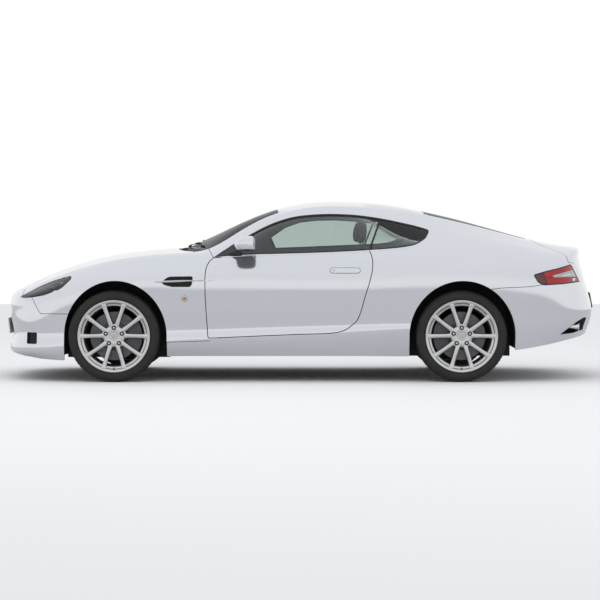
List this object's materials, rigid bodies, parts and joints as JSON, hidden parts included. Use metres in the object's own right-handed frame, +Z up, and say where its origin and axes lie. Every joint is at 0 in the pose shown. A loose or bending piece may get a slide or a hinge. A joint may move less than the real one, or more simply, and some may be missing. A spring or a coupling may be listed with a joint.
{
  "type": "two-door coupe car",
  "caption": "Low two-door coupe car with a long bonnet, opening doors, bonnet and boot lid, turning wheels and front steering.",
  "frame": {"origin": "on the ground, in the middle of the car's length and width", "axes": "+X forward, +Y the car's left, +Z up"},
  "size_m": [4.564, 2.0232, 1.367],
  "materials": {
    "black_plastic": "matte",
    "cast_metal": "satin",
    "chrome": "polished",
    "disc_steel": "brushed",
    "glass": "clear",
    "grille_metal": "satin",
    "lamp_glass": "clear",
    "lamp_housing": "gloss",
    "leather": "satin",
    "paint": "metallic gloss",
    "plate": "satin",
    "rim": "satin",
    "tail_lamp": "gloss",
    "tyre": "matte",
    "underbody": "matte",
    "wheel_leather": "satin"
  },
  "bodies": {
    "chassis": {"underbody": "underbody", "front_frame": "underbody", "tunnel": "underbody", "firewall": "underbody", "boot_tub": "underbody", "arch_liners": "black_plastic", "engine_block": "cast_metal", "front_bumper": "paint", "front_plate": "plate", "grille": "grille_metal", "front_fenders": "paint", "headlights": "lamp_housing", "headlight_lenses": "lamp_glass", "side_vents": "black_plastic", "cowl": "black_plastic", "windscreen": "glass", "roof_panel": "paint", "body_sides": "paint", "quarter_glass": "glass", "rear_window": "glass", "sills": "paint", "rear_bumper": "paint", "tail_lights": "tail_lamp", "tow_socket": "cast_metal", "exhaust_tips": "chrome", "suspension": "cast_metal", "dashboard": "black_plastic", "steering_column": "cast_metal", "front_seats": "leather", "rear_seats": "leather", "cabin_trim": "black_plastic"},
    "bonnet_body": {"bonnet": "paint"},
    "boot_lid_body": {"boot_lid": "paint"},
    "door_left_body": {"door_left": "paint", "door_glass_left": "glass", "mirror_left": "paint"},
    "door_right_body": {"door_right": "paint", "door_glass_right": "glass", "mirror_right": "paint"},
    "steering_wheel_body": {"steering_wheel": "wheel_leather"},
    "knuckle_front_left_body": {"knuckle_front_left": "cast_metal"},
    "knuckle_front_right_body": {"knuckle_front_right": "cast_metal"},
    "road_wheel_front_left": {"tyre_front_left": "tyre", "wheel_front_left": "rim", "brake_disc_front_left": "disc_steel"},
    "road_wheel_front_right": {"tyre_front_right": "tyre", "wheel_front_right": "rim", "brake_disc_front_right": "disc_steel"},
    "road_wheel_rear_left": {"tyre_rear_left": "tyre", "wheel_rear_left": "rim", "brake_disc_rear_left": "disc_steel"},
    "road_wheel_rear_right": {"tyre_rear_right": "tyre", "wheel_rear_right": "rim", "brake_disc_rear_right": "disc_steel"}
  },
  "joints": [
    {"name": "steer_left", "type": "hinge", "parent": "chassis", "child": "knuckle_front_left_body", "pos_m": [1.401, 0.76, 0.346], "axis": [0, 0, 1], "range_deg": [-32, 32]},
    {"name": "steer_right", "type": "hinge", "parent": "chassis", "child": "knuckle_front_right_body", "pos_m": [1.401, -0.76, 0.346], "axis": [0, 0, 1], "range_deg": [-32, 32]},
    {"name": "steering_wheel_turn", "type": "hinge", "parent": "chassis", "child": "steering_wheel_body", "pos_m": [0.178, 0.37, 0.904], "axis": [-0.9063, 0, 0.4226], "range_deg": [-450, 450]},
    {"name": "door_left_hinge", "type": "hinge", "parent": "chassis", "child": "door_left_body", "pos_m": [0.716, 0.902, 0.65], "axis": [0, 0, -1], "range_deg": [0, 65]},
    {"name": "door_right_hinge", "type": "hinge", "parent": "chassis", "child": "door_right_body", "pos_m": [0.716, -0.902, 0.65], "axis": [0, 0, 1], "range_deg": [0, 65]},
    {"name": "bonnet_hinge", "type": "hinge", "parent": "chassis", "child": "bonnet_body", "pos_m": [0.8, 0, 1], "axis": [0, -1, 0], "range_deg": [0, 50]},
    {"name": "boot_lid_hinge", "type": "hinge", "parent": "chassis", "child": "boot_lid_body", "pos_m": [-1.784, 0, 1.08], "axis": [0, 1, 0], "range_deg": [0, 60]},
    {"name": "spin_front_left", "type": "hinge", "parent": "knuckle_front_left_body", "child": "road_wheel_front_left", "pos_m": [1.401, 0.78, 0.346], "axis": [0, 1, 0], "continuous": true},
    {"name": "spin_front_right", "type": "hinge", "parent": "knuckle_front_right_body", "child": "road_wheel_front_right", "pos_m": [1.401, -0.78, 0.346], "axis": [0, 1, 0], "continuous": true},
    {"name": "spin_rear_left", "type": "hinge", "parent": "chassis", "child": "road_wheel_rear_left", "pos_m": [-1.217, 0.78, 0.346], "axis": [0, 1, 0], "continuous": true},
    {"name": "spin_rear_right", "type": "hinge", "parent": "chassis", "child": "road_wheel_rear_right", "pos_m": [-1.217, -0.78, 0.346], "axis": [0, 1, 0], "continuous": true}
  ],
  "couplings": [
    {"joint": "steer_right", "follows": "steer_left", "ratio": 1},
    {"joint": "steering_wheel_turn", "follows": "steer_left", "ratio": 14}
  ]
}
